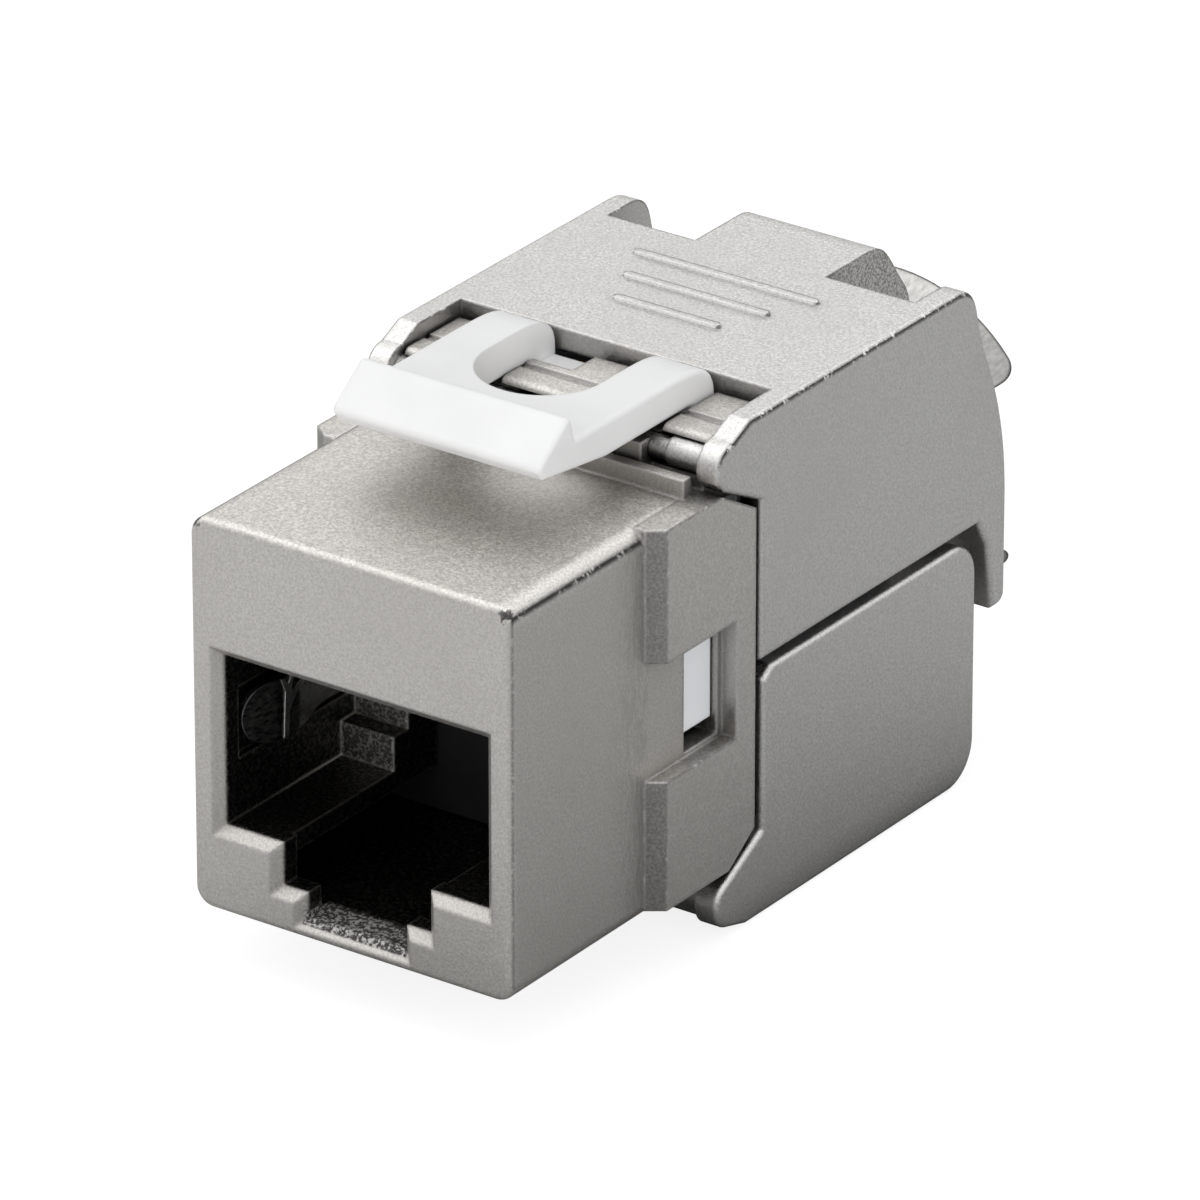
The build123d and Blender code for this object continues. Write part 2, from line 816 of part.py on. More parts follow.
def contact_carrier():
    """Black moulding above and behind the port, with a slot for each contact."""
    half = half_port - carrier_clearance
    roof = face_height - roof_wall - carrier_clearance
    back = carrier_back
    under = port_top + carrier_roof_drop
    solid = block(-half, half, face_wall + carrier_clearance, carrier_end, under, roof)
    solid = solid + block(-half, half, back, carrier_end, floor_wall + carrier_clearance, roof)
    comb_half = contact_pitch * contact_count / 2
    solid = solid + block(-comb_half, comb_half, back - comb_depth, carrier_end, comb_low, roof)
    top = contact_row_z + contact_row_step + contact_slot / 2
    for i in range(contact_count):
        x0 = contact_x(i) - contact_slot / 2
        x1 = contact_x(i) + contact_slot / 2
        row = contact_row(i)
        solid = solid - block(x0, x1, contact_front - contact_slot, back, comb_low - cut_past, top)
        solid = solid - block(x0, x1, back - cut_past, carrier_end + cut_past,
                              row - contact_slot / 2, row + contact_slot / 2)
    relief = block(
        -half + carrier_rim, half - carrier_rim,
        carrier_end - pin_proud - carrier_relief, carrier_end + cut_past,
        board_low + carrier_rim, roof - carrier_rim,
    )
    return solid - both_sides(arm_way(window_start - arm_lead, carrier_end + cut_past)) - relief


def arm_way(start, end):
    """Room on the right side for the snap arm of the fork block."""
    half = half_port - carrier_clearance
    return block(half - arm_thickness - arm_room, half + cut_past, start, end,
                 window_low, window_high + arm_top_room)


def contact(index):
    """One gold spring contact, from its tail in the board to its free tip."""
    row = contact_row(index)
    path = FilletPolyline(
        (board_end + pin_proud / 2, row),
        (contact_front, row),
        (contact_front, contact_elbow_z),
        (contact_tip_y, contact_tip_z),
        radius=contact_bend,
    )
    strip = trace(path, contact_thickness)
    x = contact_x(index)
    return prism_x(strip, x - contact_width / 2, x + contact_width / 2)


def fork_x(column):
    """Place across the jack of one column of forks."""
    return (column - (fork_columns - 1) / 2) * fork_pitch


def circuit_board():
    """Upright board between the contacts and the forks, with its pin holes."""
    half = half_port - 2 * carrier_clearance
    board = block(-half, half, board_start, board_end, board_low, board_high)
    board = board - both_sides(arm_way(board_start - cut_past, board_end + cut_past))
    holes = [(contact_x(i), contact_row(i)) for i in range(contact_count)]
    for column in range(fork_columns):
        for side in (-1, 1):
            holes.append((fork_x(column), cable_axis_z + side * fork_row_offset))
    for x, z in holes:
        hole = Pos(x, z) * Circle(pin_hole_radius)
        board = board - prism_y(hole, board_start - cut_past, board_end + cut_past)
    return board


# Fork block, forks and wire manager

def idc_block():
    """White moulding behind the board, with snap arms that show in the side windows."""
    half = half_port - carrier_clearance
    front = block(-half, half, block_start, block_shoulder,
                  block_low + block_neck_inset, block_high - block_neck_inset)
    rear = block(-block_half_width, block_half_width, block_shoulder, block_end,
                 block_low, block_high)
    lug_top = window_high - lug_clearance
    lug_low = lug_top - lug_height
    lug_start = window_start + lug_clearance
    lug_end = window_end - lug_clearance
    lug_face = half_face - lug_recess
    arm = block(half - arm_thickness, half, window_start, block_start + lug_root, lug_low, lug_top)
    lug = outline(
        (half - lug_root, lug_start),
        (lug_face - lug_slope, lug_start),
        (lug_face, lug_start + lug_slope),
        (lug_face, lug_end),
        (half - lug_root, lug_end),
    )
    solid = front + rear + both_sides(arm + prism_z(lug, lug_low, lug_top))
    pins = block(
        -half + carrier_rim, half - carrier_rim,
        block_start - cut_past, block_start + pin_proud,
        contact_row_z - pin_room, contact_row_z + contact_row_step + pin_room,
    )
    return solid - pins - fork_slots(block_start - cut_past, block_end + cut_past)


def fork_slots(start, end):
    """Slots that the eight forks sit in."""
    slots = []
    for column in range(fork_columns):
        for side in (-1, 1):
            x = fork_x(column)
            z = cable_axis_z + side * fork_row_offset
            across = fork_width / 2 + fork_seat
            up = fork_thickness / 2 + fork_seat
            slots.append(block(x - across, x + across, start, end, z - up, z + up))
    return slots[0].fuse(*slots[1:])


def idc_fork(column, side):
    """One forked blade: its pin goes through the board, its jaws point to the rear."""
    half = fork_width / 2
    slot = fork_slot / 2
    root = fork_end - fork_slot_depth
    right = [
        (fork_pin, board_start - pin_proud),
        (fork_pin, block_start + fork_shoulder),
        (half, block_start + fork_shoulder),
        (half, fork_end - fork_tip_length),
        (half - fork_tip, fork_end),
        (slot + fork_mouth, fork_end),
        (slot, fork_end - fork_mouth_depth),
        (slot, root),
    ]
    left = [(-x, y) for x, y in reversed(right)]
    z = cable_axis_z + side * fork_row_offset
    blade = prism_z(outline(*right, *left), z - fork_thickness / 2, z + fork_thickness / 2)
    return Pos(fork_x(column), 0, 0) * blade


def wire_manager():
    """White cap that leads the eight wires over the forks."""
    solid = block(-block_half_width, block_half_width, manager_start, manager_end,
                  block_low, block_high)
    solid = chamfer(solid.edges().filter_by(Axis.Y), manager_edge)
    solid = solid - fork_slots(manager_start - cut_past, fork_end + manager_floor)
    half = wire_channel / 2
    middle = Plane.XY.offset((block_low + block_high) / 2)
    hole_floor = cable_axis_z + fork_row_offset - wire_hole_depth
    for column in range(fork_columns):
        x = fork_x(column)
        channel = block(x - half, x + half, wire_y - half, manager_end + cut_past,
                        block_high - wire_channel_depth, block_high + cut_past)
        hole = block(x - half, x + half, wire_y - half, wire_y + half,
                     hole_floor, block_high + cut_past)
        cut = channel + hole
        solid = solid - cut - mirror(cut, about=middle)
    dish = prism_y(Pos(0, cable_axis_z) * Circle(cable_hole_radius),
                   manager_end - manager_dish_depth, manager_end + cut_past)
    return solid - dish


# Shield springs

def shield_spring():
    """Bent tongue in the right port wall, with a rounded free end."""
    seat = half_port + spring_pocket - spring_clearance - spring_thickness / 2
    crown = half_port - spring_bulge
    path = FilletPolyline(
        (seat, spring_end),
        (seat, spring_end - spring_rise),
        (crown, spring_crown + spring_flat),
        (crown, spring_crown - spring_flat),
        (seat - spring_lead, spring_start),
        radius=spring_radius,
    )
    strip = prism_z(trace(path, spring_thickness), spring_low, spring_low + spring_height)
    radius = spring_height / 2
    middle = spring_low + radius
    tongue = Pos(spring_start + radius, middle) * Circle(radius)
    tongue = tongue + Pos(spring_start + radius, middle) * Rectangle(
        spring_end, spring_height, align=(Align.MIN, Align.CENTER))
    return strip & prism_x(tongue, 0, half_face)


def all_pieces():
    """Every piece by name, in the drawing's own place."""
    pieces = {
        "front_housing": front_housing(),
        "latch_clip": latch_clip(),
        "upper_cover": upper_cover(),
        "lower_cover": lower_cover(),
        "upper_collar": cable_collar(rear_end - cover_wall),
        "lower_collar": lower_half(cable_collar(lower_rear - cover_wall)),
        "contact_carrier": contact_carrier(),
        "circuit_board": circuit_board(),
        "idc_block": idc_block(),
        "wire_manager": wire_manager(),
        "shield_spring_right": shield_spring(),
        "shield_spring_left": mirror(shield_spring(), about=Plane.YZ),
    }
    for i in range(contact_count):
        pieces[f"contact_{i + 1}"] = contact(i)
    for column in range(fork_columns):
        pieces[f"idc_fork_{column + 1}"] = idc_fork(column, 1)
        pieces[f"idc_fork_{column + 1 + fork_columns}"] = idc_fork(column, -1)
    return pieces


os.makedirs("parts", exist_ok=True)
place = Pos(0, -overall_length / 2, rest_height)
for name, piece in all_pieces().items():
    export_step(place * piece, f"parts/{name}.step")
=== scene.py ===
"""Looks of a shielded keystone jack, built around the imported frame."""
import math

import bmesh
import bpy
from mathutils import Matrix, Vector


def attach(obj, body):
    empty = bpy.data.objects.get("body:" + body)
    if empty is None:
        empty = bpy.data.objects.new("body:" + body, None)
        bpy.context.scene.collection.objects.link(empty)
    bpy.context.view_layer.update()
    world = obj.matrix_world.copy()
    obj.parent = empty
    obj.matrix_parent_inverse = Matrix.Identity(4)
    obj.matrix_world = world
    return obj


# Sizes are in millimetres of the drawing unless they say otherwise, and MM turns them into metres.
MM = 0.001
# The drawing has its face at y = 0 and the underside of the front box at z = 0.
# The frame moves both by these.
FACE_Y = -17.8
REST_Z = 2.2

# Sizes of the drawing that the looks follow
BOX_SIDE_X = 7.25
FLANGE_FOOT_X = (BOX_SIDE_X + 0.03, BOX_SIDE_X + 0.07)
PLATE_TOP_Z = 18.5
HOOD_SIDE_X = 3.0
SPRING_CROWN_X = 5.31
MANAGER_TOP_Z = 14.9
MANAGER_FOOT_Z = 0.7

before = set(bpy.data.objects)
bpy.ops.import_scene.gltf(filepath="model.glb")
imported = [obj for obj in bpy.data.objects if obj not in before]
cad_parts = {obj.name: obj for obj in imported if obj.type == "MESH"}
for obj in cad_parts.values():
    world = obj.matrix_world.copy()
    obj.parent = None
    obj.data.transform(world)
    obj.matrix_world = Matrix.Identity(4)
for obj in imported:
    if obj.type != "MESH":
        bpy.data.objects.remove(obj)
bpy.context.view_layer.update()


def widths(places):
    """X in metres of places in the drawing."""
    return [x * MM for x in places]


def depths(places):
    """Y in metres of places in the drawing."""
    return [(y + FACE_Y) * MM for y in places]


def heights(places):
    """Z in metres of places in the drawing."""
    return [(z + REST_Z) * MM for z in places]


def spot(x, y, z):
    """A point of the drawing, in metres in the frame."""
    return Vector((*widths([x]), *depths([y]), *heights([z])))


def grey(value, warm=0.0):
    """A grey that leans to yellow as warm grows."""
    return (value * (1 + warm), value, value * (1 - warm * 1.6), 1.0)


def lighter(colour, factor):
    """A colour made lighter, up to white."""
    return tuple(min(1.0, part * factor) for part in colour[:3]) + (1.0,)


# Shader helpers

class Graph:
    """A node tree under construction, with short names for the nodes it uses."""

    def __init__(self, tree):
        self.tree = tree

    def node(self, kind, **settings):
        made = self.tree.nodes.new("ShaderNode" + kind)
        for key, value in settings.items():
            setattr(made, key, value)
        return made

    def link(self, source, target):
        self.tree.links.new(source, target)

    def put(self, target, value):
        """Give a socket a number, a colour or another socket."""
        if isinstance(value, bpy.types.NodeSocket):
            self.link(value, target)
        else:
            target.default_value = value

    def math(self, operation, *values):
        """Result of an operation on numbers and sockets."""
        made = self.node("Math", operation=operation)
        for target, value in zip(made.inputs, values):
            self.put(target, value)
        return made.outputs[0]

    def product(self, first, *others):
        """Product of numbers and sockets."""
        for other in others:
            first = self.math("MULTIPLY", first, other)
        return first

    def size_of(self, value):
        """A value without its sign."""
        return self.math("ABSOLUTE", value)

    def ramp(self, value, low, high, out_low=0.0, out_high=1.0, smooth=True):
        """Map a value from low..high to out_low..out_high."""
        made = self.node("MapRange", clamp=True)
        made.interpolation_type = "SMOOTHSTEP" if smooth else "LINEAR"
        self.put(made.inputs["Value"], value)
        made.inputs["From Min"].default_value = low
        made.inputs["From Max"].default_value = high
        made.inputs["To Min"].default_value = out_low
        made.inputs["To Max"].default_value = out_high
        return made.outputs["Result"]

    def fall(self, value, low, high):
        """1 up to low, and down to 0 at high."""
        return self.ramp(value, low, high, 1.0, 0.0)

    def band(self, value, limits):
        """1 between two limits and 0 outside them, for values from 0 to 1."""
        low, high = limits
        return self.product(self.ramp(value, low, low + 0.05),
                            self.fall(value, high - 0.03, high + 0.02))

    def join(self, kind, *sources, factor=None):
        """Add or mix two shaders."""
        made = self.node(kind)
        if factor is not None:
            self.link(factor, made.inputs["Fac"])
        for target, source in zip(made.inputs[-2:], sources):
            self.link(source.outputs[0], target)
        return made


class Shader(Graph):
    """A material under construction."""

    def __init__(self, name):
        self.material = bpy.data.materials.new(name)
        self.material.use_nodes = True
        super().__init__(self.material.node_tree)
        self.bsdf = self.tree.nodes["Principled BSDF"]
        self.coords = self.node("TexCoord").outputs["Object"]

    def noise(self, size_mm, detail=3.0, roughness=0.5, stretch=None):
        """Noise with features of about the given size, from 0 to 1."""
        made = self.node("TexNoise")
        made.inputs["Scale"].default_value = 1.0 / (size_mm * MM)
        made.inputs["Detail"].default_value = detail
        made.inputs["Roughness"].default_value = roughness
        source = self.coords
        if stretch is not None:
            mapping = self.node("Mapping")
            mapping.inputs["Scale"].default_value = stretch
            self.link(source, mapping.inputs["Vector"])
            source = mapping.outputs[0]
        self.link(source, made.inputs["Vector"])
        return made.outputs["Fac"]

    def mix(self, factor, a, b):
        """Blend two colours."""
        made = self.node("Mix", data_type="RGBA")
        self.put(made.inputs["Factor"], factor)
        self.put(made.inputs[6], a)
        self.put(made.inputs[7], b)
        return made.outputs[2]

    def bump(self, relief, depth_mm, strength, normal):
        """Normal of a surface with a fine relief on it."""
        made = self.node("Bump")
        made.inputs["Strength"].default_value = strength
        made.inputs["Distance"].default_value = depth_mm * MM
        self.link(relief, made.inputs["Height"])
        self.link(normal, made.inputs["Normal"])
        return made.outputs["Normal"]

    def rounded(self, radius_mm):
        """Normal of the surface as if its edges had a small radius."""
        made = self.node("Bevel", samples=4)
        made.inputs["Radius"].default_value = radius_mm * MM
        return made.outputs["Normal"]

    def edges(self, rounded, low=0.02, high=0.2):
        """Mask that is 1 on the edges, from the rounded and the true normal."""
        true = self.node("NewGeometry").outputs["True Normal"]
        dot = self.node("VectorMath", operation="DOT_PRODUCT")
        self.link(rounded, dot.inputs[0])
        self.link(true, dot.inputs[1])
        return self.ramp(self.math("SUBTRACT", 1.0, dot.outputs["Value"]), low, high)

    def lean(self, normal):
        """How far a normal leans along each axis of its object, from -1 to 1."""
        turn = self.node("VectorTransform", vector_type="NORMAL",
                         convert_from="WORLD", convert_to="OBJECT")
        self.link(normal, turn.inputs[0])
        parts = self.node("SeparateXYZ")
        self.link(turn.outputs[0], parts.inputs[0])
        return parts.outputs

    def recess(self, reach_mm):
        """1 in the open and towards 0 in narrow corners and gaps."""
        made = self.node("AmbientOcclusion", samples=2, only_local=False)
        made.inputs["Distance"].default_value = reach_mm * MM
        return made.outputs["AO"]

    def place(self):
        """The three coordinates of the surface point, in metres."""
        made = self.node("SeparateXYZ")
        self.link(self.coords, made.inputs[0])
        return made.outputs

    def surface(self, colour, roughness, normal, metal=False):
        """Give the surface its colour, roughness and normal, and hand out the material."""
        if metal:
            self.bsdf.inputs["Metallic"].default_value = 1.0
        self.link(colour, self.bsdf.inputs["Base Color"])
        self.link(roughness, self.bsdf.inputs["Roughness"])
        self.link(normal, self.bsdf.inputs["Normal"])
        return self.material


# Castings

# How far from a corner the painted shade in it reaches
CORNER_REACH = 1.5


class Casting(Shader):
    """Satin nickel plate on a sandy zinc casting."""

    def __init__(self, name, edge_radius):
        super().__init__(name)
        self.grain = self.noise(0.11, 4.0, 0.62)
        self.speck = self.noise(0.045, 2.0, 0.6)
        self.gravel = self.math("ADD", self.product(self.grain, 0.6), self.product(self.speck, 0.4))
        self.soft = self.rounded(edge_radius)
        self.edge = self.edges(self.soft)
        self.lean_x, self.lean_y, self.lean_z = self.lean(self.soft)
        self.aside = self.size_of(self.lean_x)
        self.along = self.size_of(self.lean_y)
        self.level = self.size_of(self.lean_z)
        flatness = self.math("MAXIMUM", self.math("MAXIMUM", self.aside, self.along), self.level)
        self.curved = self.fall(flatness, 0.80, 0.985)

    def plate(self, tone, warm):
        """Colour of the plate; level faces are grainier, and tone makes it darker or lighter."""
        level = self.ramp(self.level, 0.4, 0.9)
        low = self.mix(level, grey(0.54 * tone, warm), grey(0.47 * tone, warm))
        high = self.mix(level, grey(0.75 * tone, warm), grey(0.84 * tone, warm))
        body = self.mix(self.ramp(self.gravel, 0.36, 0.64), low, high)
        cloud = self.noise(6.0, 3.0, 0.55)
        return self.mix(self.ramp(cloud, 0.35, 0.7, 0.0, 0.3), body, grey(0.58 * tone, 1.4 * warm))

    def rubbed_and_highlight_rim(self, body, curved_highlight_share):
        """Edges rubbed bright, partly wear and partly a painted highlight, and some painted
        highlight on curved faces.
        """
        rim = self.math("MAXIMUM", self.edge, self.product(self.curved, curved_highlight_share))
        rim = self.product(rim, self.ramp(self.grain, 0.3, 0.6, 0.5, 0.9))
        return self.mix(rim, body, grey(0.92, 0.015))

    def painted_dark_outline(self, body):
        """Painted dark reflection line along the top's left and rear edges."""
        left = self.fall(self.lean_x, -0.50, -0.30)
        rear = self.product(self.edge, self.ramp(self.lean_y, 0.25, 0.45))
        line = self.product(self.math("MAXIMUM", left, rear), self.ramp(self.lean_z, 0.55, 0.70),
                            self.ramp(self.grain, 0.35, 0.5, 0.4, 0.8))
        return self.mix(line, body, grey(0.06, 0.03))

    def painted_edge_line(self, body, dark_line_mask, upright):
        """Broken painted dark reflection line on edges; upright is its share on upright edges."""
        broken = self.product(self.ramp(self.noise(0.32, 3.0, 0.7), 0.34, 0.47),
                              self.ramp(self.lean_z, 0.15, 0.35, upright, 1.0),
                              self.ramp(self.lean_z, -0.35, -0.15))
        return self.mix(self.product(dark_line_mask, broken, 0.97), body, grey(0.04, 0.03))

    def painted_corner_shade(self, body, open_sky):
        """Painted shade in corners and gaps, from a mask that is 1 in the open."""
        body = self.mix(self.ramp(open_sky, 0.55, 0.98, 0.22, 0.0), body, grey(0.05, 0.03))
        return self.mix(self.ramp(open_sky, 0.08, 0.62, 0.9, 0.0), body, grey(0.03, 0.03))

    def satin(self, curved_drop):
        """Roughness of the plate, which is lower on curved faces."""
        rough = self.ramp(self.grain, 0.3, 0.7, 0.36, 0.50)
        return self.math("SUBTRACT", rough, self.product(self.curved, curved_drop))

    def skin(self):
        """Normal with orange peel and sandy grain on it."""
        peel = self.noise(0.5, 2.0, 0.5, (0.45, 1.0, 1.0))
        sand = self.math("ADD", self.grain, self.product(self.speck, 0.4))
        return self.bump(sand, 0.02, 0.85, self.bump(peel, 0.02, 0.5, self.soft))


def cast_cover(name, dark_line_lean, upright, tone, warm):
    """Material of a cover; dark_line_lean is how far an edge leans aside where it gets the painted
    dark reflection line.
    """
    c = Casting(name, edge_radius=0.18)
    body = c.rubbed_and_highlight_rim(c.plate(tone, warm), curved_highlight_share=0.6)
    body = c.painted_edge_line(c.painted_dark_outline(body), c.band(c.aside, dark_line_lean), upright)
    x, _, z = c.place()
    # The ribs on the plate get no painted corner shade, and have a faint line of painted shade on
    # their rear slope
    ribs = c.ramp(z, *heights((PLATE_TOP_Z + 0.01, PLATE_TOP_Z + 0.04)))
    shade = c.product(c.ramp(c.lean_y, 0.12, 0.35), c.ramp(c.grain, 0.38, 0.55, 0.1, 0.6))
    body = c.mix(c.product(ribs, shade), body, grey(0.10, 0.03))
    # Painted shade, as dark grain, on the hood's two side faces
    body = c.mix(hood_side_shade(c, x), body,
                 c.mix(c.ramp(c.gravel, 0.44, 0.54), grey(0.20, 0.03), grey(0.70, 0.03)))
    body = c.painted_corner_shade(body, c.math("MAXIMUM", c.recess(CORNER_REACH), ribs))
    return c.surface(body, c.satin(curved_drop=0.14), c.skin(), metal=True)


def hood_side_shade(c, x):
    """Share of painted shade, as dark grain, on the hood's two sides."""
    across = c.size_of(x)
    near = c.product(c.ramp(across, *widths((HOOD_SIDE_X - 0.10, HOOD_SIDE_X - 0.03))),
                     c.fall(across, *widths((HOOD_SIDE_X + 0.03, HOOD_SIDE_X + 0.10))))
    return c.product(near, c.ramp(c.aside, 0.75, 0.9, 0.0, 0.8))


def cast_housing(name, dark_line_lean, upright, tone, warm):
    """Material of the housing, with its flanges, worn corners and painted shade in its port."""
    c = Casting(name, edge_radius=0.20)
    across = c.size_of(c.place()[0])
    body = c.plate(tone, warm)
    # The chamfers of the port get no rubbed edge or painted highlight, and upright curves no
    # painted highlight
    outside = c.math("SUBTRACT", 1.0, port_mouth(c))
    all_edges = c.edge
    c.edge = c.product(c.edge, outside)
    c.curved = c.product(c.curved, c.ramp(c.level, 0.05, 0.25), outside)
    # Painted shade on the slope at the front of each flange
    flange_front_shade = c.product(c.band(c.aside, (0.46, 0.72)), c.fall(c.level, 0.1, 0.3),
                     c.ramp(across, *widths((BOX_SIDE_X + 0.01, BOX_SIDE_X + 0.09))),
                     c.ramp(c.grain, 0.3, 0.65, 0.68, 0.48))
    body = c.rubbed_and_highlight_rim(c.mix(flange_front_shade, body, grey(0.12, 0.03)), curved_highlight_share=0.10)
    body = c.painted_dark_outline(body)
    # The flange's top edge gets the painted dark reflection line too
    flange_top = c.product(c.ramp(across, *widths(FLANGE_FOOT_X)),
                           c.ramp(c.lean_z, 0.2, 0.35), c.band(c.aside, (0.45, 0.92)))
    dark_line_mask = c.math("MAXIMUM", c.band(c.aside, dark_line_lean), flange_top)
    body = c.painted_edge_line(body, dark_line_mask, upright)
    worn = c.product(worn_corner(c), c.ramp(c.grain, 0.3, 0.5, 0.5, 0.95))
    body = c.mix(worn, body, grey(0.05, 0.03))
    body = c.mix(side_streaks(c, across), body, grey(0.20, 0.03))
    body = c.painted_corner_shade(body, c.recess(CORNER_REACH))
    sill = port_sill(c)
    body = port_shade_and_sill(c, body, all_edges, sill)
    rough = c.math("ADD", c.satin(curved_drop=0.06), c.product(sill, 0.35))
    return c.surface(body, rough, c.skin(), metal=True)


# Middle of the worn spot at the face's top corner, in mm in the frame and without signs
WORN_AT = (6.99, 17.68, 17.93)
# Where the dark streaks grow towards the flanges, and where they fade on them
MARKS_FRONT_Y = (5.6, 8.3)
MARKS_BACK_Y = (8.4, 8.9)


def worn_corner(c):
    """1 where the plate has rubbed off at the two top corners of the face."""
    fold = c.node("VectorMath", operation="ABSOLUTE")
    c.link(c.coords, fold.inputs[0])
    gap = c.node("VectorMath", operation="DISTANCE")
    c.link(fold.outputs[0], gap.inputs[0])
    gap.inputs[1].default_value = [part * MM for part in WORN_AT]
    wobble = c.product(c.noise(0.22, 3.0, 0.7), 0.9 * MM)
    return c.fall(c.math("ADD", gap.outputs["Value"], wobble), 0.62 * MM, 0.74 * MM)


def side_streaks(c, across):
    """Share of dark upright streaks on the sides, in front of the flanges."""
    y = c.place()[1]
    near = c.product(c.ramp(y, *depths(MARKS_FRONT_Y)),
                     c.ramp(y, *depths(MARKS_BACK_Y), 1.0, 0.15))
    side = c.product(c.ramp(across, *widths((BOX_SIDE_X - 0.25, BOX_SIDE_X - 0.05))),
                     c.fall(across, *widths(FLANGE_FOOT_X)))
    streak = c.ramp(c.noise(0.12, 4.0, 0.7, (1.0, 1.0, 0.22)), 0.36, 0.64, 0.0, 0.28)
    return c.product(near, side, streak)


# Limits of the masks in the port: each pair is where the mask starts and ends to fade
MOUTH_BACK_Y = (0.45, 0.55)
MOUTH_SIDE_X = (6.4, 6.5)
MOUTH_TOP_Z = (10.9, 11.0)
SILL_FRONT_Y = (0.12, 0.2)
SILL_BACK_Y = (1.5, 2.0)
SILL_SIDE_X = (2.3, 2.45)
SILL_TOP_Z = (1.0, 1.1)
INSIDE_FRONT_Y = (0.62, 0.82)
INSIDE_SIDE_X = (6.35, 6.6)
INSIDE_FOOT_Z = (0.5, 0.7)
INSIDE_TOP_Z = (15.1, 15.4)


def port_mouth(c):
    """1 on the chamfers round the plug port, 0 on the rest of the face."""
    x, y, z = c.place()
    return c.product(c.fall(y, *depths(MOUTH_BACK_Y)),
                     c.fall(c.size_of(x), *widths(MOUTH_SIDE_X)),
                     c.fall(z, *heights(MOUTH_TOP_Z)))


def port_sill(c):
    """1 on the rough floor of the tab slot, just behind the face."""
    x, y, z = c.place()
    return c.product(c.ramp(y, *depths(SILL_FRONT_Y)),
                     c.fall(y, *depths(SILL_BACK_Y)),
                     c.fall(c.size_of(x), *widths(SILL_SIDE_X)),
                     c.fall(z, *heights(SILL_TOP_Z)))


def port_inside(c):
    """1 on the walls inside the plug port and the housing, 0 outside."""
    x, y, z = c.place()
    ragged = c.math("ADD", y, c.product(c.noise(0.2, 3.0, 0.7), 0.5 * MM))
    return c.product(c.ramp(ragged, *depths(INSIDE_FRONT_Y)),
                     c.fall(c.size_of(x), *widths(INSIDE_SIDE_X)),
                     c.ramp(z, *heights(INSIDE_FOOT_Z)),
                     c.fall(z, *heights(INSIDE_TOP_Z)))


def port_shade_and_sill(c, body, edges, sill):
    """Painted shade on the crackled walls inside the port, painted highlights on their edges, and
    its lighter sill.
    """
    crackle = c.ramp(c.noise(0.15, 3.0, 0.7), 0.46, 0.60)
    # Painted shade on the crackled walls inside the port
    dark = c.mix(crackle, grey(0.03, 0.03), grey(0.16, 0.03))
    # Painted highlight on the edges inside the port
    dark = c.mix(c.product(edges, 0.8), dark, grey(0.85, 0.02))
    # Walls facing along the port get a lighter crackle, with less of the painted shade
    facing = c.mix(crackle, grey(0.30, 0.03), grey(0.98, 0.03))
    dark = c.mix(c.ramp(c.along, 0.8, 0.95), dark, facing)
    body = c.mix(port_inside(c), body, dark)
    return c.mix(sill, body, c.mix(crackle, grey(0.12, 0.03), grey(0.72, 0.02)))


# Other materials

def bright_steel(name):
    """Rolled spring steel with faint lines from its forming, and a painted dark line along its
    edges.
    """
    s = Shader(name)
    lines = s.noise(0.22, 3.0, 0.6, (1.0, 0.10, 1.0))
    smear = s.noise(3.0, 2.0, 0.5)
    soft = s.rounded(0.16)
    edge = s.edges(soft, 0.01, 0.15)
    body = s.mix(s.ramp(lines, 0.3, 0.7), grey(0.36, 0.02), grey(0.50, 0.02))
    # Painted dark line along the edges
    body = s.mix(s.product(edge, 0.85), body, grey(0.06))
    return s.surface(body, s.ramp(smear, 0.3, 0.7, 0.24, 0.30), s.bump(lines, 0.006, 0.5, soft),
                     metal=True)


def moulded(name, low, high, roughness, translucent=0.0, speckle_mm=0.3, bump_mm=0.008):
    """Moulded plastic: slight mottling, fine skin, softly rounded edges with a painted highlight.
    """
    s = Shader(name)
    skin = s.noise(speckle_mm, 4.0, 0.6)
    cloud = s.noise(4.0, 2.0, 0.5)
    soft = s.rounded(0.12)
    body = s.mix(s.ramp(cloud, 0.3, 0.7), low, high)
    # Painted highlight on the edges
    body = s.mix(s.product(s.edges(soft), 0.35), body, lighter(high, 1.12))
    if translucent:
        s.bsdf.inputs["Subsurface Weight"].default_value = translucent
        s.bsdf.inputs["Subsurface Radius"].default_value = (0.9, 0.85, 0.8)
        s.bsdf.inputs["Subsurface Scale"].default_value = 0.6 * MM
    return s.surface(body, s.ramp(skin, 0.3, 0.7, roughness - 0.05, roughness + 0.06),
                     s.bump(skin, bump_mm, 0.6, soft))


def plated(name, dark, light, roughness):
    """Plated spring metal with drawn lines along it and a painted highlight on its edges."""
    s = Shader(name)
    lines = s.noise(0.12, 3.0, 0.6, (1.0, 0.1, 1.0))
    soft = s.rounded(0.05)
    body = s.mix(s.ramp(lines, 0.3, 0.7), dark, light)
    # Painted highlight on the edges
    body = s.mix(s.product(s.edges(soft), 0.5), body, lighter(light, 1.2))
    return s.surface(body, s.ramp(lines, 0.3, 0.7, roughness - 0.04, roughness + 0.08),
                     s.bump(lines, 0.004, 0.5, soft), metal=True)


def board_mask(name):
    """Green solder mask over a woven board, with pale bare edges."""
    s = Shader(name)
    weave = s.noise(0.25, 3.0, 0.5, (1.0, 1.0, 0.4))
    soft = s.rounded(0.06)
    body = s.mix(s.ramp(weave, 0.3, 0.7), (0.012, 0.10, 0.045, 1.0), (0.02, 0.15, 0.07, 1.0))
    body = s.mix(s.product(s.edges(soft), 0.7), body, (0.42, 0.40, 0.22, 1.0))
    return s.surface(body, s.ramp(weave, 0.3, 0.7, 0.28, 0.42), s.bump(weave, 0.008, 0.5, soft))


